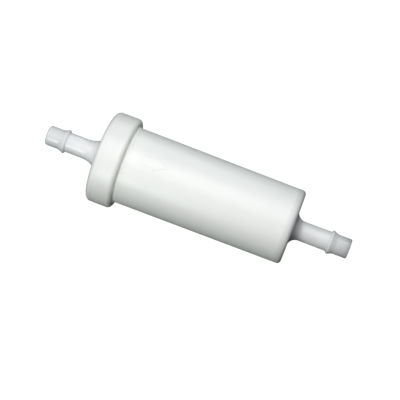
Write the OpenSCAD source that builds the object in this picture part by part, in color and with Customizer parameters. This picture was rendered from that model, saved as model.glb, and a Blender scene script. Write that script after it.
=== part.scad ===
// In-line fuel filter. A housing and a spin-welded cap, each with a barbed hose nipple, hold a pleated
// paper element. Fuel comes in through the cap, passes the paper from outside to inside, and leaves
// through the core and the housing's nipple.
// Frame: +X is the way the fuel flows, +Z is the side with the flow arrow, and the origin is on the axis,
// halfway between the tips of the nipples. Outlines are lists of [radius, x] points, turned about X.

/* [Hose nipples] */
// Outside diameter of a nipple
nipple_d = 8; // [7:0.1:9]
// Diameter over the barb
barb_d = 9.7; // [9.2:0.05:11]
// Diameter of the fuel passage
bore_d = 5; // [4:0.1:5.5]
// Length of a nipple, from the end wall to the tip
nipple_len = 23.4; // [21:0.1:28]
// Distance from the tip to the barb's crest
barb_setback = 7.9; // [6:0.1:10]

/* [Cap] */
// Diameter of the cap
cap_d = 37.5; // [36:0.1:42]
// Width of the cap along the axis
cap_w = 10.4; // [9:0.1:13]
// Radius of the cap's rounded front corner
cap_round = 2; // [0.5:0.1:2.5]

/* [Housing] */
// Diameter of the housing at its mouth
body_d = 31.4; // [31:0.1:32]
// Length of the housing that shows, from the cap to the end wall
body_len = 70.7; // [60:0.1:90]
// Draft of the housing's wall, in degrees a side
draft = 0.34; // [0.1:0.01:0.5]
// Thickness of the housing's wall
wall = 1.9; // [1.6:0.1:2.1]

/* [Flow arrow] */
// Length of the raised arrow
arrow_len = 10.4; // [6:0.1:14]
// Width across the arrow's head
arrow_w = 5.4; // [3:0.1:8]
// Height of the arrow above the wall
arrow_relief = 0.16; // [0.08:0.02:0.4]

/* [Element] */
// Number of pleats
pleats = 30; // [24:2:32]
// Diameter over the pleats
media_d = 23; // [22:0.5:23]
// Diameter inside the pleats
media_bore = 14.2; // [14:0.1:15]
// Thickness of the filter paper
paper = 0.45; // [0.3:0.05:0.55]

/* [Hidden] */
$fn = 96;

// Stations along X, from the inlet to the outlet.
overall = 2 * nipple_len + cap_w + body_len;
cap_face = nipple_len - overall / 2;
cap_edge = cap_face + cap_w;
end_face = cap_edge + body_len;

// The cap: its end wall, the slot that the housing's mouth is welded into, the flash that shows there, the
// plug inside the mouth, and the shallow witness band that the mould leaves round the rim.
cap_wall = 3;
cap_inside = cap_face + cap_wall;
slot_gap = 0.15;
slot_chamfer = 0.3;
flash_w = 0.5;
weld_h = 0.6;
plug_len = 3.5;
plug_wall = 1.4;
witness_setback = 0.3;
witness_w = 1;
witness_depth = 0.07;
witness_slope = 0.15;
skirt_round = 1.1;
diffuser_r = 6;
diffuser_len = 4;

// The housing: its mouth, its end wall, and the socket for the element's spigot.
mouth = cap_inside + weld_h;
end_wall = 2.2;
end_inside = end_face - end_wall;
end_round = 1.5;
inside_round = 1.5;
socket_r = 6.1;
socket_wall = 1.9;
socket_len = 7;
socket_chamfer = 0.5;

// The nipples: what both share, the wider passage behind each one, and how each one flares into its wall.
nipple_r = nipple_d / 2;
bore_r = bore_d / 2;
inlet_tip_round = 0.9;
outlet_tip_round = 0.4;
tip_chamfer = 0.35;
barb_back = 0.65;
barb_crest = 0.3;
barb_ramp = 1.95;
passage_r = bore_r + 0.3;
passage_step = 0.5;
inlet_flare_r = 10.8;
inlet_flare_h = 7.7;
outlet_flare_r = 3.5;

// The element: a tray at each end, filled with potting that holds the paper and the core.
tray_clear = 0.2;
tray_wall = 0.7;
tray_floor = 1.2;
tray_depth = 3;
tray_r = media_d / 2 + tray_clear + tray_wall;
potting_h = 2.4;
standoff_h = 3.85;
standoff_clear = 0.2;
standoff_w = 1.6;
lug_w = 2;
lug_clear = 0.25;
closed_floor = cap_inside + standoff_clear + standoff_h;
closed_face = closed_floor + tray_floor;
open_floor = end_inside - socket_len - 0.65;
open_face = open_floor - tray_floor;
paper_sink = 0.6;
media_start = closed_face + paper_sink;
media_end = open_face - paper_sink;
fold_w = 0.68;
crease_w = 0.2;

core_clear = 0.3;
core_wall = 1;
core_r = media_bore / 2 - core_clear;
window_rings = 11;
windows = 6;
window_w = 3.6;
ring_w = 1.6;
locator_h = 2;
locator_wall = 1.2;

spigot_clear = 0.2;
spigot_r = socket_r - spigot_clear;
spigot_bore_r = 3.2;
spigot_len = 6;
seal_floor_r = 4.75;
seal_section_d = 1.5;
seal_h = socket_r - seal_floor_r;
seal_w = seal_h + PI * (pow(seal_section_d, 2) - pow(seal_h, 2)) / 4 / seal_h;
seal_side_clear = 0.25;
seal_at = open_floor + 3.5;

clip_t = 0.25;
clip_depth = 2.6;
clip_spread = 0.24;

white_plastic = "#f4f5f1";
natural_nylon = "#e9e3d0";
weld_flash = "#e6e7df";

// Points of an arc about c, from angle a0 to a1.
function arc(c, r, a0, a1, steps = 12) =
  [for (i = [0:steps]) let (a = a0 + (a1 - a0) * i / steps) c + r * [cos(a), sin(a)]];

// Outer radius of the housing's drafted wall at x.
function body_r(x) = body_d / 2 - max(0, x - cap_edge) * tan(draft);

// Outside of a nipple from its wall to its bore, with x measured away from the wall.
function nipple_side(flare_r, flare_h, tip_round) =
  let (crest = nipple_len - barb_setback)
  concat(
    arc([nipple_r + flare_r, flare_h], flare_r, 180 + asin(flare_h / flare_r), 180),
    [
      [nipple_r, crest - barb_crest / 2 - barb_back],
      [barb_d / 2, crest - barb_crest / 2],
      [barb_d / 2, crest + barb_crest / 2],
      [nipple_r, crest + barb_crest / 2 + barb_ramp]
    ],
    arc([nipple_r - tip_round, nipple_len - tip_round], tip_round, 0, 90, 6),
    [[bore_r + tip_chamfer, nipple_len], [bore_r, nipple_len - tip_chamfer]]
  );

// Turns an outline of [radius, x] points about the X axis.
module turned() rotate([0, 90, 0]) rotate_extrude() children();

// Extrudes a section along X from x0 to x1. The section's first axis points down.
module along_x(x0, x1) translate([x0, 0, 0]) rotate([0, 90, 0]) linear_extrude(x1 - x0) children();

// A plain ring between two radii.
module ring(r0, r1, x0, x1) turned() polygon([[r0, x0], [r1, x0], [r1, x1], [r0, x1]]);

// Raised block arrow on the top of the wall, pointing along the flow.
module flow_arrow() {
  tail_at = cap_edge + 6.9;
  neck_at = tail_at + arrow_len * 0.51;
  tip_at = tail_at + arrow_len;
  tail_w = arrow_w * 0.66;
  root = 0.6;
  intersection() {
    turned() polygon([
      [body_r(tail_at) - root, tail_at - 1], [body_r(tail_at - 1) + arrow_relief, tail_at - 1],
      [body_r(tip_at + 1) + arrow_relief, tip_at + 1], [body_r(tail_at) - root, tip_at + 1]
    ]);
    linear_extrude(body_d) polygon([
      [tail_at, -tail_w / 2], [neck_at, -tail_w / 2], [neck_at, -arrow_w / 2], [tip_at, 0],
      [neck_at, arrow_w / 2], [neck_at, tail_w / 2], [tail_at, tail_w / 2]
    ]);
  }
}

module housing() {
  corner_r = body_r(end_face - end_round) - end_round;
  inside_r = body_r(end_inside) - wall;
  outside = concat(
    [[body_r(mouth), mouth], [body_r(cap_edge), cap_edge]],
    arc([corner_r, end_face - end_round], end_round, 0, 90),
    [for (p = nipple_side(outlet_flare_r, outlet_flare_r, outlet_tip_round)) p + [0, end_face]]
  );
  passage_at = end_face + outlet_flare_r;
  socket = [
    [bore_r, passage_at], [passage_r, passage_at - passage_step], [passage_r, end_inside],
    [socket_r, end_inside], [socket_r, end_inside - socket_len + socket_chamfer],
    [socket_r + socket_chamfer, end_inside - socket_len], [socket_r + socket_wall, end_inside - socket_len],
    [socket_r + socket_wall, end_inside]
  ];
  inside = concat(
    arc([inside_r - inside_round, end_inside - inside_round], inside_round, 90, 0),
    [[body_r(cap_edge) - wall, cap_edge], [body_r(mouth) - wall, mouth]]
  );
  color(white_plastic) union() {
    turned() polygon(concat(outside, socket, inside));
    flow_arrow();
  }
}

module inlet_cap() {
  cap_r = cap_d / 2;
  slot_out = body_r(mouth) + slot_gap;
  slot_in = body_r(mouth) - wall - slot_gap;
  plug_r = slot_in - plug_wall;
  witness = cap_face + cap_round + witness_setback;
  nipple = [for (p = nipple_side(inlet_flare_r, inlet_flare_h, inlet_tip_round)) [p.x, cap_face - p.y]];
  outside = concat(
    [for (i = [len(nipple) - 1:-1:0]) nipple[i]],
    arc([cap_r - cap_round, cap_face + cap_round], cap_round, -90, 0),
    [
      [cap_r, witness], [cap_r - witness_depth, witness + witness_slope],
      [cap_r - witness_depth, witness + witness_w - witness_slope], [cap_r, witness + witness_w]
    ],
    arc([cap_r - skirt_round, cap_edge - skirt_round], skirt_round, 0, 90, 6)
  );
  slot = [
    [slot_out + slot_chamfer, cap_edge], [slot_out, cap_edge - slot_chamfer],
    [slot_out, cap_inside], [slot_in, cap_inside],
    [slot_in, cap_inside + plug_len - 0.4], [slot_in - 0.4, cap_inside + plug_len],
    [plug_r, cap_inside + plug_len], [plug_r, cap_inside]
  ];
  passage_at = cap_face - inlet_flare_h;
  diffuser = [
    [diffuser_r, cap_inside], [passage_r, cap_inside - diffuser_len],
    [passage_r, passage_at + passage_step], [bore_r, passage_at]
  ];
  color(white_plastic) turned() polygon(concat(outside, slot, diffuser));
}

// The plastic that melted in the cap's slot and joins the housing to the cap. It fills the gap round the
// housing and ends in a small flash along the edge of the skirt.
module spin_weld_bead() {
  r_out = body_r(mouth) + slot_gap;
  r_in = body_r(mouth) - wall - slot_gap;
  lip = 0.7;
  flash_end = cap_edge + flash_w;
  color(weld_flash) turned() polygon([
    [r_in, cap_inside], [r_out, cap_inside], [r_out, cap_edge - slot_chamfer],
    [r_out + slot_chamfer, cap_edge], [body_r(flash_end) + flash_w / 3, cap_edge + flash_w / 3],
    [body_r(flash_end), flash_end], [body_r(cap_edge), cap_edge], [body_r(mouth), mouth],
    [body_r(mouth) - wall, mouth], [body_r(mouth) - wall, mouth + lip], [r_in, mouth + lip]
  ]);
}

// Star-shaped outline with a flat tip on each fold, at fold_r, and a narrow crease between each two folds.
module star(fold_r, crease_r, turn) {
  pitch = 360 / pleats;
  function at(r, a, side) = [r * cos(a) - side * sin(a), r * sin(a) + side * cos(a)];
  polygon([
    for (i = [0:pleats - 1]) let (fold = i * pitch + turn, crease = fold + pitch / 2) each [
      at(fold_r, fold, -fold_w / 2), at(fold_r, fold, fold_w / 2),
      at(crease_r, crease, -crease_w / 2), at(crease_r, crease, crease_w / 2)
    ]
  ]);
}

// Outline of the pleats seen from outside, filled in.
module pleats_outside() star(media_d / 2, media_bore / 2 + paper, 0);

// Section of the pleated paper.
module pleat_section() difference() {
  pleats_outside();
  star(media_bore / 2, media_d / 2 - paper, 180 / pleats);
}

module pleated_media() color("#e8d9a6") along_x(media_start, media_end) pleat_section();

// Thin steel channel that grips the pleat where the paper's two ends meet.
module seam_clip() {
  top = media_d / 2;
  low = top - clip_depth;
  tip_half = fold_w / 2 + clip_t;
  color("silver") along_x(closed_face + tray_depth, open_face - tray_depth) difference() {
    polygon([
      [low, -tip_half - clip_spread], [top + clip_t, -tip_half], [top + clip_t, tip_half],
      [low, tip_half + clip_spread]
    ]);
    pleats_outside();
  }
}

// A moulded cage: rings and ribs with windows between them, which keeps the paper from collapsing.
module core_tube() {
  start = closed_face;
  length = open_face - closed_face;
  blank = locator_h + 1.4;
  pitch = (length - 2 * blank + ring_w) / window_rings;
  color(natural_nylon) difference() {
    ring(core_r - core_wall, core_r, start, start + length);
    for (i = [0:window_rings - 1], j = [0:windows / 2 - 1])
      translate([start + blank + i * pitch, 0, 0])
        rotate([j * 360 / windows, 0, 0])
          translate([0, -window_w / 2, -core_r - 1])
            cube([pitch - ring_w, window_w, 2 * core_r + 2]);
  }
}

// Potting in a tray, from its floor at x0 to its surface at x1, with the paper standing in it.
module potting(x0, x1) color("#8d3b2e") difference() {
  ring(core_r, tray_r - tray_wall, min(x0, x1), max(x0, x1));
  along_x(media_start, media_end) pleat_section();
}

module closed_end_potting() potting(closed_face, closed_face + potting_h);

module open_end_potting() potting(open_face, open_face - potting_h);

// Tray that closes the element's inlet end, with ribs that keep it off the cap and lugs that centre it.
module closed_end_plate() {
  inner_r = core_r - core_wall;
  locator_end = closed_face + locator_h;
  lug_r = body_r(cap_edge) - wall - lug_clear;
  lug_root = tray_r - tray_wall / 2;
  color(natural_nylon) union() {
    turned() polygon([
      [0, closed_floor], [tray_r, closed_floor], [tray_r, closed_face + tray_depth],
      [tray_r - tray_wall, closed_face + tray_depth], [tray_r - tray_wall, closed_face],
      [inner_r, closed_face], [inner_r, locator_end - 0.4], [inner_r - 0.4, locator_end],
      [inner_r - locator_wall, locator_end], [inner_r - locator_wall, closed_face], [0, closed_face]
    ]);
    for (a = [45:90:315]) rotate([a, 0, 0]) {
      translate([closed_floor - standoff_h, -standoff_w / 2, diffuser_r + 0.5])
        cube([standoff_h + 0.1, standoff_w, 4]);
      translate([closed_floor, -lug_w / 2, lug_root])
        cube([tray_floor + tray_depth, lug_w, lug_r - lug_root]);
    }
  }
}

// Tray at the outlet end, with the spigot that plugs into the housing's socket.
module open_end_plate() {
  inner_r = core_r - core_wall;
  locator_r = inner_r - locator_wall;
  seal_half = seal_w / 2 + seal_side_clear;
  spigot_end = open_floor + spigot_len;
  color(natural_nylon) turned() polygon([
    [locator_r, open_face - locator_h], [inner_r - 0.4, open_face - locator_h],
    [inner_r, open_face - locator_h + 0.4], [inner_r, open_face], [tray_r - tray_wall, open_face],
    [tray_r - tray_wall, open_face - tray_depth], [tray_r, open_face - tray_depth], [tray_r, open_floor],
    [spigot_r, open_floor], [spigot_r, seal_at - seal_half], [seal_floor_r, seal_at - seal_half],
    [seal_floor_r, seal_at + seal_half], [spigot_r, seal_at + seal_half], [spigot_r, spigot_end - 0.6],
    [spigot_r - 0.6, spigot_end], [spigot_bore_r, spigot_end], [spigot_bore_r, open_floor],
    [locator_r, open_face]
  ]);
}

// O-ring, squeezed between the floor of its groove and the socket's wall.
module outlet_o_ring() {
  section_r = seal_h / 2;
  middle = (socket_r + seal_floor_r) / 2;
  half = seal_w / 2 - section_r;
  color("#1c1c1e") turned() polygon(concat(
    arc([middle, seal_at + half], section_r, 0, 180),
    arc([middle, seal_at - half], section_r, 180, 360)
  ));
}

housing();
inlet_cap();
spin_weld_bead();
closed_end_plate();
closed_end_potting();
pleated_media();
seam_clip();
core_tube();
open_end_potting();
open_end_plate();
outlet_o_ring();
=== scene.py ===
"""Looks for the in-line fuel filter: the two moulded shells are rebuilt with soft edges and a moulded
arrow, the pieces inside keep their CAD shapes, and every piece gets a procedural material."""
import math

import bmesh
import bpy
from mathutils import Matrix, Vector


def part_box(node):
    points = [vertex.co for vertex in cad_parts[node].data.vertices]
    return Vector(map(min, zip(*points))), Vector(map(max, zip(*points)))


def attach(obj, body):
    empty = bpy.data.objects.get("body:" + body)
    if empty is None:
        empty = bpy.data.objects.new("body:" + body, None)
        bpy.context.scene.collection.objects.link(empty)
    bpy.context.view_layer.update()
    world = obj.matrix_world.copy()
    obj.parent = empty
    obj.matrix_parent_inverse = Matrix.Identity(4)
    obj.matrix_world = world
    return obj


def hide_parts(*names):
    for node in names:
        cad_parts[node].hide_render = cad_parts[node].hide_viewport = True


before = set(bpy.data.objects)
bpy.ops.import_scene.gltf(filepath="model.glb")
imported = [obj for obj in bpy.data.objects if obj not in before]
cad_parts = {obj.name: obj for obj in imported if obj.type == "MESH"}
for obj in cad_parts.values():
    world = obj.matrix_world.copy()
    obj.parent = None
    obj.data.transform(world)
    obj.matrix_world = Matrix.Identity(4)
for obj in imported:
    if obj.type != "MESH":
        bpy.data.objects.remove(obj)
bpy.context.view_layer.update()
MM = 0.001

# ---------------------------------------------------------------- sizes, from the CAD boxes where they can be
housing_low, housing_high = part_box("housing")
cap_low, cap_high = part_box("inlet_cap")
MOUTH = housing_low.x
OUTLET_TIP = housing_high.x
INLET_TIP = cap_low.x
CAP_EDGE = cap_high.x
NIPPLE_LEN = 23.4 * MM
CAP_FACE = INLET_TIP + NIPPLE_LEN
END_FACE = OUTLET_TIP - NIPPLE_LEN

# The cap, with the slot and the plug that take the housing's mouth.
CAP_R = 18.75 * MM
CAP_ROUND = 2 * MM
CAP_WALL = 3 * MM
SKIRT_ROUND = 1.5 * MM
WITNESS_SETBACK = 0.3 * MM
WITNESS_W = 1 * MM
WITNESS_DEPTH = 0.07 * MM
WITNESS_SLOPE = 0.15 * MM
SLOT_GAP = 0.15 * MM
SLOT_CHAMFER = 0.3 * MM
PLUG_LEN = 3.5 * MM
PLUG_WALL = 1.4 * MM
PLUG_CHAMFER = 0.4 * MM
DIFFUSER_R = 6 * MM
DIFFUSER_LEN = 4 * MM

# The housing, with the socket inside its end wall.
BODY_R = 15.7 * MM
END_ROUND = 1.5 * MM
DRAFT = math.tan(math.radians(0.34))
WALL = 1.9 * MM
END_WALL = 2.2 * MM
INSIDE_ROUND = 1.5 * MM
SOCKET_R = 6.1 * MM
SOCKET_WALL = 1.9 * MM
SOCKET_LEN = 7 * MM
SOCKET_CHAMFER = 0.5 * MM

# The nipples. Each flare is its radius and its height.
NIPPLE_R = 4 * MM
BARB_R = 4.85 * MM
BARB_SETBACK = 7.9 * MM
BARB_BACK = 0.65 * MM
BARB_CREST = 0.3 * MM
BARB_RAMP = 1.95 * MM
INLET_TIP_ROUND = 0.9 * MM
OUTLET_TIP_ROUND = 0.4 * MM
TIP_CHAMFER = 0.4 * MM
BORE_R = 2.5 * MM
PASSAGE_R = 2.8 * MM
PASSAGE_STEP = 0.5 * MM
INLET_FLARE = (10.8 * MM, 7.7 * MM)
OUTLET_FLARE = (3.5 * MM, 3.5 * MM)

# Small fillets on moulded edges.
CRISP = 0.05 * MM
FINE_EDGE = 0.1 * MM
SOFT_EDGE = 0.3 * MM


def body_r(x):
    """Outer radius of the housing's drafted wall."""
    return BODY_R - max(0.0, x - CAP_EDGE) * DRAFT


# ---------------------------------------------------------------- outlines
def arc(centre, radius, a0, a1, steps):
    """Points (x, r) of an arc. Angle 0 points along +x and 90 away from the axis."""
    angles = [math.radians(a0 + (a1 - a0) * i / steps) for i in range(steps + 1)]
    return [(centre[0] + radius * math.cos(a), centre[1] + radius * math.sin(a)) for a in angles]


def rounded(corners, steps=4):
    """A run of (x, r, fillet) corners, each with a fillet and a point close to each end of it, so that
    smooth shading stays inside the fillet. The first and last corners stay sharp."""
    points = []
    count = len(corners)
    for i, (x, r, fillet) in enumerate(corners):
        here = Vector((x, r))
        if fillet == 0 or i in (0, count - 1):
            points.append((x, r))
            continue
        to_last = (Vector(corners[i - 1][:2]) - here).normalized()
        to_next = (Vector(corners[i + 1][:2]) - here).normalized()
        half = to_last.angle(to_next) / 2
        reach = fillet / math.tan(half)
        start, end = here + to_last * reach, here + to_next * reach
        centre = here + (to_last + to_next).normalized() * (fillet / math.sin(half))
        points.append(tuple(start + to_last * fillet * 0.3))
        for k in range(steps + 1):
            spoke = (start - centre).lerp(end - centre, k / steps).normalized()
            points.append(tuple(centre + spoke * fillet))
        points.append(tuple(end + to_next * fillet * 0.3))
    return points


def nipple(flare, tip_round):
    """Outside of a nipple from its wall to its bore, as (distance from the wall, r)."""
    flare_r, flare_h = flare
    crest = NIPPLE_LEN - BARB_SETBACK
    start = math.degrees(math.asin(flare_h / flare_r))
    run = arc((flare_h, NIPPLE_R + flare_r), flare_r, 270 - start, 270, 20)
    barb = [
        (crest - 6 * MM, NIPPLE_R, 0),
        (crest - BARB_CREST / 2 - BARB_BACK, NIPPLE_R, SOFT_EDGE),
        (crest - BARB_CREST / 2, BARB_R, BARB_CREST / 2),
        (crest + BARB_CREST / 2, BARB_R, BARB_CREST / 2),
        (crest + BARB_CREST / 2 + BARB_RAMP, NIPPLE_R, 3 * MM),
        (NIPPLE_LEN - 2 * MM, NIPPLE_R, 0),
    ]
    run += rounded(barb)
    run += arc((NIPPLE_LEN - tip_round, NIPPLE_R - tip_round), tip_round, 90, 0, 8)
    run += [(NIPPLE_LEN, BORE_R + TIP_CHAMFER)]
    run += [(NIPPLE_LEN - TIP_CHAMFER * 0.3, BORE_R + TIP_CHAMFER * 0.3)]
    run += [(NIPPLE_LEN - TIP_CHAMFER, BORE_R)]
    return run


def stretch(x0, x1, step):
    """Evenly spaced stations from x0 to x1, with both ends."""
    count = max(1, round(abs(x1 - x0) / step))
    return [x0 + (x1 - x0) * i / count for i in range(count + 1)]


# ---------------------------------------------------------------- flow arrow, moulded in the housing's top
ARROW_TAIL = CAP_EDGE + 6.9 * MM
ARROW_LEN = 10.4 * MM
ARROW_NECK = ARROW_TAIL + ARROW_LEN * 0.51
ARROW_TIP = ARROW_TAIL + ARROW_LEN
ARROW_HALF = 2.7 * MM
TAIL_HALF = ARROW_HALF * 0.66
ARROW_RELIEF = 0.14 * MM
ARROW_EDGE = 0.22 * MM
ARROW_OUTLINE = [
    Vector((ARROW_TAIL, -TAIL_HALF)), Vector((ARROW_NECK, -TAIL_HALF)),
    Vector((ARROW_NECK, -ARROW_HALF)), Vector((ARROW_TIP, 0)), Vector((ARROW_NECK, ARROW_HALF)),
    Vector((ARROW_NECK, TAIL_HALF)), Vector((ARROW_TAIL, TAIL_HALF)),
]
FINE = 0.11 * MM


def depth_inside(point, outline):
    """Distance from a point to an outline, positive inside it."""
    nearest = 1.0
    inside = False
    for i, a in enumerate(outline):
        b = outline[i - 1]
        along = b - a
        share = max(0.0, min(1.0, (point - a).dot(along) / along.length_squared))
        nearest = min(nearest, (point - a - along * share).length)
        if (a.y > point.y) != (b.y > point.y):
            if point.x < a.x + (point.y - a.y) / (b.y - a.y) * (b.x - a.x):
                inside = not inside
    return nearest if inside else -nearest


def arrow_height(x, y):
    """How far the arrow stands above the wall, with sloping sides."""
    if not (ARROW_TAIL - MM < x < ARROW_TIP + MM and abs(y) < ARROW_HALF + MM):
        return 0.0
    share = depth_inside(Vector((x, y)), ARROW_OUTLINE) / ARROW_EDGE + 1
    share = max(0.0, min(1.0, share))
    return ARROW_RELIEF * share * share * (3 - 2 * share)


# ---------------------------------------------------------------- shells turned about X
def turned(name, outline, angles, height=None, raised=()):
    """A closed shell from a closed outline of (x, r) points. Rings in raised get height(x, y) added."""
    mesh = bpy.data.meshes.new(name)
    work = bmesh.new()
    rings = []
    for i, (x, r) in enumerate(outline):
        ring = []
        for a in angles:
            out = r + (height(x, r * math.sin(a)) if i in raised and math.cos(a) > 0 else 0.0)
            ring.append(work.verts.new((x, out * math.sin(a), out * math.cos(a))))
        rings.append(ring)
    for i, ring in enumerate(rings):
        last = rings[i - 1]
        for j in range(len(angles)):
            work.faces.new((last[j - 1], last[j], ring[j], ring[j - 1]))
    bmesh.ops.recalc_face_normals(work, faces=work.faces)
    for face in work.faces:
        face.smooth = True
    work.to_mesh(mesh)
    work.free()
    piece = bpy.data.objects.new(name, mesh)
    bpy.context.scene.collection.objects.link(piece)
    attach(piece, "root")
    return piece


def even_angles(count):
    """Even angles, half a step off the axes and diagonals."""
    return [2 * math.pi * (i + 0.5) / count for i in range(count)]


def housing_angles():
    """Even angles, with close ones across the arrow."""
    reach = (ARROW_HALF + 0.6 * MM) / BODY_R
    close = stretch(-reach, reach, FINE / BODY_R)
    clear = reach + 0.01
    coarse = [a for a in even_angles(192) if clear < a < 2 * math.pi - clear]
    return close + coarse


def make_housing():
    end_r = body_r(END_FACE - END_ROUND)
    end_inside = END_FACE - END_WALL
    inside_r = body_r(end_inside) - WALL
    socket_mouth = end_inside - SOCKET_LEN
    zone = (ARROW_TAIL - 0.5 * MM, ARROW_TIP + 0.5 * MM)
    wall = [(x, body_r(x)) for x in stretch(CAP_EDGE, zone[0], MM)[:-1]]
    first_raised = len(wall) + 2
    wall += [(x, body_r(x)) for x in stretch(zone[0], zone[1], FINE)]
    last_raised = len(wall) + 2
    wall += [(x, body_r(x)) for x in stretch(zone[1], END_FACE - END_ROUND, 2 * MM)[1:]]
    outline = [(MOUTH, body_r(MOUTH)), (MOUTH + SOFT_EDGE, body_r(MOUTH))] + wall
    outline += arc((END_FACE - END_ROUND, end_r - END_ROUND), END_ROUND, 90, 0, 12)[1:]
    outline += [(END_FACE, end_r - END_ROUND - SOFT_EDGE)]
    outline += [(END_FACE + d, r) for d, r in nipple(OUTLET_FLARE, OUTLET_TIP_ROUND)]
    outline += rounded([
        (END_FACE + OUTLET_FLARE[1], BORE_R, 0),
        (END_FACE + OUTLET_FLARE[1] - PASSAGE_STEP, PASSAGE_R, 0),
        (end_inside, PASSAGE_R, FINE_EDGE),
        (end_inside, SOCKET_R, FINE_EDGE),
        (socket_mouth + SOCKET_CHAMFER, SOCKET_R, 0),
        (socket_mouth, SOCKET_R + SOCKET_CHAMFER, FINE_EDGE),
        (socket_mouth, SOCKET_R + SOCKET_WALL, FINE_EDGE * 1.5),
        (end_inside, SOCKET_R + SOCKET_WALL, FINE_EDGE * 2),
        (end_inside, inside_r, INSIDE_ROUND),
        (CAP_EDGE, body_r(CAP_EDGE) - WALL, 0),
        (MOUTH, body_r(MOUTH) - WALL, 0),
    ])
    shell = turned(
        "housing_shell", outline, housing_angles(), arrow_height, range(first_raised, last_raised)
    )
    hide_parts("housing")
    return shell


def make_cap():
    inside = CAP_FACE + CAP_WALL
    plug_end = inside + PLUG_LEN
    witness = CAP_FACE + CAP_ROUND + WITNESS_SETBACK
    groove = CAP_R - WITNESS_DEPTH
    slot_out = BODY_R + SLOT_GAP
    slot_in = BODY_R - WALL - SLOT_GAP
    plug_in = slot_in - PLUG_WALL
    outline = [(CAP_FACE - d, r) for d, r in reversed(nipple(INLET_FLARE, INLET_TIP_ROUND))]
    outline += arc((CAP_FACE + CAP_ROUND, CAP_R - CAP_ROUND), CAP_ROUND, 180, 90, 16)
    outline += rounded([
        (witness - FINE_EDGE, CAP_R, 0),
        (witness + CRISP, CAP_R, CRISP),
        (witness + CRISP + WITNESS_SLOPE, groove, CRISP),
        (witness + WITNESS_W - CRISP - WITNESS_SLOPE, groove, CRISP),
        (witness + WITNESS_W - CRISP, CAP_R, CRISP),
        (CAP_EDGE, CAP_R, SKIRT_ROUND),
        (CAP_EDGE, slot_out + SLOT_CHAMFER, FINE_EDGE),
        (CAP_EDGE - SLOT_CHAMFER, slot_out, FINE_EDGE),
        (inside, slot_out, 0),
        (inside, slot_in, 0),
        (plug_end - PLUG_CHAMFER, slot_in, 0),
        (plug_end, slot_in - PLUG_CHAMFER, 0),
        (plug_end, plug_in, FINE_EDGE * 2),
        (inside, plug_in, SOFT_EDGE),
        (inside, DIFFUSER_R, SOFT_EDGE),
        (inside - DIFFUSER_LEN, PASSAGE_R, 0),
        (CAP_FACE - INLET_FLARE[1] + PASSAGE_STEP, PASSAGE_R, 0),
        (CAP_FACE - INLET_FLARE[1], BORE_R, 0),
    ])
    shell = turned("cap_shell", outline, even_angles(224))
    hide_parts("inlet_cap")
    return shell


# ---------------------------------------------------------------- materials
class Nodes:
    """A few short calls to build a material's node tree."""

    def __init__(self, name):
        self.material = bpy.data.materials.new(name)
        self.material.use_nodes = True
        self.tree = self.material.node_tree
        self.shader = self.tree.nodes["Principled BSDF"]
        self.place = self.add("ShaderNodeTexCoord").outputs["Object"]

    def add(self, kind, **settings):
        made = self.tree.nodes.new(kind)
        for key, value in settings.items():
            setattr(made, key, value)
        return made

    def link(self, output, target):
        self.tree.links.new(output, target)

    def stretched(self, scale):
        """Object coordinates scaled along each axis."""
        mapping = self.add("ShaderNodeMapping")
        mapping.inputs["Scale"].default_value = scale
        self.link(self.place, mapping.inputs["Vector"])
        return mapping.outputs["Vector"]

    def noise(self, size, detail=3.0, scale=(1, 1, 1)):
        """Noise whose features are about size metres across."""
        made = self.add("ShaderNodeTexNoise")
        made.inputs["Scale"].default_value = 1 / size
        made.inputs["Detail"].default_value = detail
        self.link(self.stretched(scale), made.inputs["Vector"])
        return made.outputs["Fac"]

    def spread(self, value, low, high, start=0.3, end=0.7):
        """Maps a 0 to 1 pattern from start..end to low..high."""
        made = self.add("ShaderNodeMapRange")
        self.link(value, made.inputs["Value"])
        for key, number in (("From Min", start), ("From Max", end), ("To Min", low), ("To Max", high)):
            made.inputs[key].default_value = number
        return made.outputs["Result"]

    def mix(self, share, a, b):
        """Mixes two colours. Each is an RGB tuple or another node's output."""
        made = self.add("ShaderNodeMix", data_type="RGBA")
        self.link(share, made.inputs["Factor"])
        for socket, value in ((made.inputs[6], a), (made.inputs[7], b)):
            if isinstance(value, tuple):
                socket.default_value = (*value, 1)
            else:
                self.link(value, socket)
        return made.outputs[2]

    def bump(self, height, depth, under=None):
        """Bump of a 0 to 1 pattern that is depth metres deep."""
        made = self.add("ShaderNodeBump")
        made.inputs["Distance"].default_value = depth
        self.link(height, made.inputs["Height"])
        if under is not None:
            self.link(under, made.inputs["Normal"])
        return made.outputs["Normal"]

    def along(self):
        """Place along the filter's axis."""
        parts = self.add("ShaderNodeSeparateXYZ")
        self.link(self.place, parts.inputs["Vector"])
        return parts.outputs["X"]

    def radius(self):
        """Distance from the filter's axis."""
        made = self.add("ShaderNodeVectorMath", operation="LENGTH")
        self.link(self.stretched((0, 1, 1)), made.inputs[0])
        return made.outputs["Value"]

    def shaded(self, colour, ends):
        """The colour, mixed with another at the end of each (start, end, share, other) run of the axis."""
        for start, end, share, other in ends:
            colour = self.mix(self.spread(self.along(), 0, share, start, end), colour, other)
        return colour

    def edges(self, reach):
        """1 within reach of an edge, 0 elsewhere."""
        bevel = self.add("ShaderNodeBevel", samples=8)
        bevel.inputs["Radius"].default_value = reach
        turn = self.add("ShaderNodeVectorMath", operation="DOT_PRODUCT")
        self.link(bevel.outputs["Normal"], turn.inputs[0])
        self.link(self.add("ShaderNodeNewGeometry").outputs["Normal"], turn.inputs[1])
        return self.spread(turn.outputs["Value"], 1, 0, 0.93, 0.99)

    def set(self, **values):
        for key, value in values.items():
            self.shader.inputs[key.replace("_", " ")].default_value = value


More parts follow.
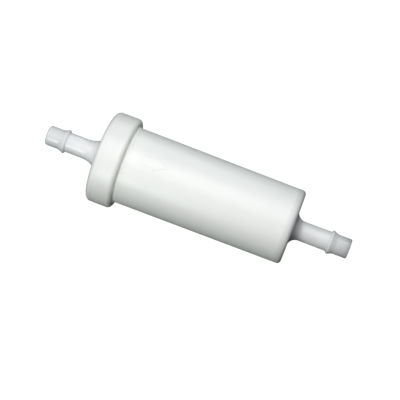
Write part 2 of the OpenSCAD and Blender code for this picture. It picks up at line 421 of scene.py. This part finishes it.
def acetal(name, tone, thin_shade_tone, turned_marks=False, wall_painted_light_and_shade=(), nipple_painted_shade=()):
    """Natural white acetal: glossy, a little cloudy, and light scatters in it. The thin nipples get their own
    darker tone, a painted shade for the light that passes through their thin walls. The wall's and the
    nipple's last millimetres are painted darker, a painted shade for light lost through the plastic's edge,
    and the corner between the cap and the housing is painted lighter, a painted light for light gathered
    there."""
    n = Nodes(name)
    clouds = n.spread(n.noise(9 * MM, 2), 0, 1)
    grain = n.spread(n.noise(0.8 * MM, 4), 0, 1)
    thick = n.spread(n.radius(), 0, 1, NIPPLE_R + 0.6 * MM, 3 * NIPPLE_R)
    # Painted shade and painted light are mixed into the wall's and the nipples' colours along the axis.
    wall = n.shaded(n.mix(clouds, tone, tuple(c * 0.985 for c in tone)), wall_painted_light_and_shade)
    colour = n.mix(thick, n.shaded(thin_shade_tone, nipple_painted_shade), wall)
    # Within 0.4 mm of an edge the colour is 4% lighter: painted light along the edges.
    colour = n.mix(n.edges(0.4 * MM), colour, tuple(min(1.0, c * 1.04) for c in tone))
    n.link(colour, n.shader.inputs["Base Color"])
    matt = n.mix(thick, (0.16, 0.16, 0.16), (0.32, 0.32, 0.32))
    n.link(n.mix(n.spread(grain, 0, 0.3, 0, 1), matt, (0.5, 0.5, 0.5)), n.shader.inputs["Roughness"])
    normal = n.bump(n.noise(6 * MM, 1), 0.03 * MM)
    normal = n.bump(n.noise(0.7 * MM, 3), 0.003 * MM, normal)
    if turned_marks:
        rings = n.noise(0.35 * MM, 2, (1, 0.02, 0.02))
        normal = n.bump(rings, 0.002 * MM, normal)
    n.link(normal, n.shader.inputs["Normal"])
    n.link(n.spread(thick, 0.8, 0.25, 0, 1), n.shader.inputs["Subsurface Weight"])
    n.set(Subsurface_Scale=1.2 * MM, Subsurface_Radius=(1, 1, 0.95), IOR=1.48)
    return n.material


def nylon(name):
    """Natural nylon of the element's trays and core: satin, cream, with faint flow marks."""
    n = Nodes(name)
    flow = n.spread(n.noise(4 * MM, 3, (0.3, 1, 1)), 0, 1)
    n.link(n.mix(flow, (0.82, 0.77, 0.62), (0.75, 0.69, 0.54)), n.shader.inputs["Base Color"])
    n.link(n.spread(n.noise(0.5 * MM), 0.35, 0.5), n.shader.inputs["Roughness"])
    n.link(n.bump(n.noise(0.3 * MM, 4), 0.004 * MM), n.shader.inputs["Normal"])
    n.set(Subsurface_Weight=0.15, Subsurface_Scale=0.8 * MM)
    return n.material


def filter_paper(name):
    """Resin-treated paper: fibres across a mottled tan sheet."""
    n = Nodes(name)
    mottle = n.spread(n.noise(1.5 * MM, 5), 0, 1)
    fibres = n.spread(n.noise(0.12 * MM, 4, (1, 0.25, 0.25)), 0, 1, 0.4, 0.6)
    colour = n.mix(mottle, (0.70, 0.55, 0.26), (0.62, 0.45, 0.19))
    n.link(n.mix(fibres, colour, (0.77, 0.64, 0.36)), n.shader.inputs["Base Color"])
    n.link(n.spread(mottle, 0.8, 0.95, 0, 1), n.shader.inputs["Roughness"])
    n.link(n.bump(fibres, 0.02 * MM), n.shader.inputs["Normal"])
    return n.material


def potting(name):
    """Cast plastisol: dull, with small pits."""
    n = Nodes(name)
    mottle = n.spread(n.noise(2 * MM, 3), 0, 1)
    pits = n.spread(n.noise(0.4 * MM, 2), 0, 1, 0.3, 0.42)
    n.link(n.mix(mottle, (0.27, 0.07, 0.045), (0.20, 0.05, 0.035)), n.shader.inputs["Base Color"])
    n.link(n.spread(mottle, 0.5, 0.65, 0, 1), n.shader.inputs["Roughness"])
    n.link(n.bump(pits, 0.03 * MM), n.shader.inputs["Normal"])
    return n.material


def strip_steel(name):
    """Rolled strip: fine lines along its length."""
    n = Nodes(name)
    lines = n.spread(n.noise(0.08 * MM, 3, (0.01, 1, 1)), 0, 1)
    n.link(n.mix(lines, (0.60, 0.61, 0.62), (0.50, 0.51, 0.52)), n.shader.inputs["Base Color"])
    n.link(n.spread(lines, 0.22, 0.38, 0, 1), n.shader.inputs["Roughness"])
    n.link(n.bump(lines, 0.002 * MM), n.shader.inputs["Normal"])
    n.set(Metallic=1.0)
    return n.material


def seal_rubber(name):
    """Black nitrile with a light bloom."""
    n = Nodes(name)
    bloom = n.spread(n.noise(1.2 * MM, 4), 0, 1)
    n.link(n.mix(bloom, (0.018, 0.018, 0.02), (0.04, 0.04, 0.042)), n.shader.inputs["Base Color"])
    n.link(n.spread(bloom, 0.4, 0.6, 0, 1), n.shader.inputs["Roughness"])
    n.link(n.bump(n.noise(0.15 * MM, 3), 0.004 * MM), n.shader.inputs["Normal"])
    return n.material


def dress(piece, material):
    piece.data.materials.clear()
    piece.data.materials.append(material)


def dress_node(name, material):
    """Puts a material on a CAD node, whose mesh stays as packed."""
    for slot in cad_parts[name].material_slots:
        slot.material = material


# ---------------------------------------------------------------- stage
WHITE = 1.06
STAGE_R = 3.0
FLOOR_HALF = 0.6 * STAGE_R
LIGHT_DISTANCE = 0.4


def plain_white(name, strength):
    """Pale stage material that is bright enough to read as white."""
    n = Nodes(name)
    n.set(Base_Color=(0, 0, 0, 1), Roughness=1.0, Specular_IOR_Level=0.0)
    n.set(Emission_Color=(1, 1, 1, 1), Emission_Strength=strength)
    return n.material


def out_of_the_light(piece):
    """Keeps a stage piece from lighting or shading the filter, as in a cut-out product photo."""
    for ray in ("diffuse", "glossy", "transmission", "volume_scatter", "shadow"):
        setattr(piece, "visible_" + ray, False)


def make_stage():
    """A floor under the filter, which rests on the cap's rim and the end of its housing, and a backdrop."""
    rest_cap = Vector((CAP_EDGE - SKIRT_ROUND, 0, -CAP_R))
    rest_end = Vector((END_FACE - END_ROUND, 0, -body_r(END_FACE - END_ROUND)))
    along = (rest_end - rest_cap).normalized()
    across = Vector((0, 1, 0))
    work = bmesh.new()
    corners = [
        rest_cap + along * a * FLOOR_HALF + across * b * FLOOR_HALF
        for a, b in ((-1, -1), (1, -1), (1, 1), (-1, 1))
    ]
    work.faces.new([work.verts.new(c) for c in corners])
    mesh = bpy.data.meshes.new("floor")
    work.to_mesh(mesh)
    work.free()
    floor = bpy.data.objects.new("floor", mesh)
    work = bmesh.new()
    bmesh.ops.create_uvsphere(work, u_segments=64, v_segments=32, radius=STAGE_R)
    mesh = bpy.data.meshes.new("backdrop")
    work.to_mesh(mesh)
    work.free()
    backdrop = bpy.data.objects.new("backdrop", mesh)
    for piece in (floor, backdrop):
        bpy.context.scene.collection.objects.link(piece)
        dress(piece, plain_white(piece.name + "_white", WHITE))
        out_of_the_light(piece)


def softbox(name, turn, lean, depth, width, power, colour=(1, 1, 1)):
    """A square-edged area light that faces the filter. turn is its angle from +Z towards +Y, and lean
    from the middle towards the inlet. depth goes round the filter and width along it, in degrees."""
    t, s = math.radians(turn), math.radians(lean)
    way = Vector((-math.sin(s), math.cos(s) * math.sin(t), math.cos(s) * math.cos(t)))
    data = bpy.data.lights.new(name, "AREA")
    data.shape = "RECTANGLE"
    data.size = 2 * LIGHT_DISTANCE * math.tan(math.radians(width / 2))
    data.size_y = 2 * LIGHT_DISTANCE * math.tan(math.radians(depth / 2))
    data.energy = power
    data.color = colour
    lamp = bpy.data.objects.new(name, data)
    side = Vector((1, 0, 0))
    side = (side - way * side.dot(way)).normalized()
    lamp.matrix_world = Matrix.Translation(way * LIGHT_DISTANCE) @ Matrix(
        (side, way.cross(side), way)
    ).transposed().to_4x4()
    bpy.context.scene.collection.objects.link(lamp)


def make_lights():
    """Softboxes close round the top of the filter, which leave its underside dark, and a faint fill that
    keeps the outlet end from going black."""
    green, cyan = (0.9, 1, 0.91), (0.87, 1, 0.94)
    softbox("overhead_softbox", 7, 3, 46, 26, 0.81, (1, 0.98, 0.98))
    softbox("inlet_softbox", 0, 42, 36, 20, 0.3)
    softbox("front_softbox", -36, 6, 18, 32, 0.21)
    softbox("low_front_softbox", -61, 16, 18, 24, 0.47, green)
    softbox("rear_softbox", 42, -16, 20, 24, 0.26, cyan)
    softbox("low_rear_softbox", 72, 8, 26, 20, 0.235, cyan)
    softbox("outlet_fill", 20, -68, 30, 30, 0.05)
    world = bpy.data.worlds.new("dark_studio")
    world.use_nodes = True
    world.node_tree.nodes["Background"].inputs["Color"].default_value = (0.9, 1.0, 0.95, 1)
    world.node_tree.nodes["Background"].inputs["Strength"].default_value = 0.02
    bpy.context.scene.world = world


def make_camera(azimuth, elevation, roll, distance, aim, lens):
    """A camera that looks at aim. Azimuth 0 looks along +Y, and roll turns it about its own axis."""
    a, e = math.radians(azimuth), math.radians(elevation)
    back = Vector((math.sin(a) * math.cos(e), -math.cos(a) * math.cos(e), math.sin(e)))
    data = bpy.data.cameras.new("camera")
    data.sensor_width = 36
    data.lens = lens
    data.clip_start, data.clip_end = 0.01, 10
    camera = bpy.data.objects.new("camera", data)
    turn = (-back).to_track_quat("-Z", "Y").to_matrix() @ Matrix.Rotation(math.radians(roll), 3, "Z")
    camera.matrix_world = Matrix.Translation(aim + back * distance) @ turn.to_4x4()
    bpy.context.scene.collection.objects.link(camera)
    bpy.context.scene.camera = camera


# ---------------------------------------------------------------- the filter
WHITE_TONE = (0.9, 0.895, 0.903)
CAP_TONE = (0.885, 0.877, 0.886)
# The nipples' tone is a darker, bluer copy of the acetal: painted shade for light that passes through the
# thin walls.
THIN_SHADE_TONE = (0.845, 0.84, 0.87)
PAINTED_SHADE = (0, 0, 0)  # painted shade, standing for light lost through the plastic's edge
PAINTED_LIGHT = (1, 1, 0.96)  # painted light, standing for light gathered in the corner between cap and housing
# The housing's colour is painted darker over its outlet end and outlet nipple (painted shade) and lighter
# next to the cap (painted light).
housing_acetal = acetal(
    "white_acetal_housing", WHITE_TONE, THIN_SHADE_TONE,
    wall_painted_light_and_shade=[
        (END_FACE - 3.6 * MM, END_FACE - 0.4 * MM, 0.35, PAINTED_SHADE),
        (CAP_EDGE + 1.4 * MM, CAP_EDGE + 0.5 * MM, 0.9, PAINTED_LIGHT),
    ],
    nipple_painted_shade=[
        (END_FACE + 4.5 * MM, END_FACE + 0.5 * MM, 0.35, PAINTED_SHADE),
        (END_FACE + 12 * MM, OUTLET_TIP - 2 * MM, 0.25, PAINTED_SHADE),
        (OUTLET_TIP - 2 * MM, OUTLET_TIP, 0.3, PAINTED_SHADE),
    ],
)
# The cap's colour is painted lighter at its skirt's edge (painted light) and a little darker towards its
# nipple's tip (painted shade).
cap_acetal = acetal(
    "white_acetal_cap", CAP_TONE, THIN_SHADE_TONE, turned_marks=True,
    wall_painted_light_and_shade=[(CAP_EDGE - 1.4 * MM, CAP_EDGE - 0.5 * MM, 0.9, PAINTED_LIGHT)],
    nipple_painted_shade=[(INLET_TIP + 14 * MM, INLET_TIP + 5 * MM, 0.07, PAINTED_SHADE)],
)
dress(make_housing(), housing_acetal)
dress(make_cap(), cap_acetal)
# The flash bead is painted near white: painted light in the corner between cap and housing.
dress_node("spin_weld_bead", acetal("white_acetal_flash_painted_light", (0.98, 0.98, 0.95), THIN_SHADE_TONE))
element_nylon = nylon("natural_nylon")
for node in ("closed_end_plate", "core_tube", "open_end_plate"):
    dress_node(node, element_nylon)
cast_potting = potting("cast_potting")
for node in ("closed_end_potting", "open_end_potting"):
    dress_node(node, cast_potting)
dress_node("pleated_media", filter_paper("filter_paper"))
dress_node("seam_clip", strip_steel("strip_steel"))
dress_node("outlet_o_ring", seal_rubber("seal_rubber"))

make_stage()
make_lights()
make_camera(15.6, 74.75, 5.8, 0.4637, Vector((2.248, -2.654, -0.85)) * MM, 105.3)
bpy.context.scene.view_settings.view_transform = "Standard"
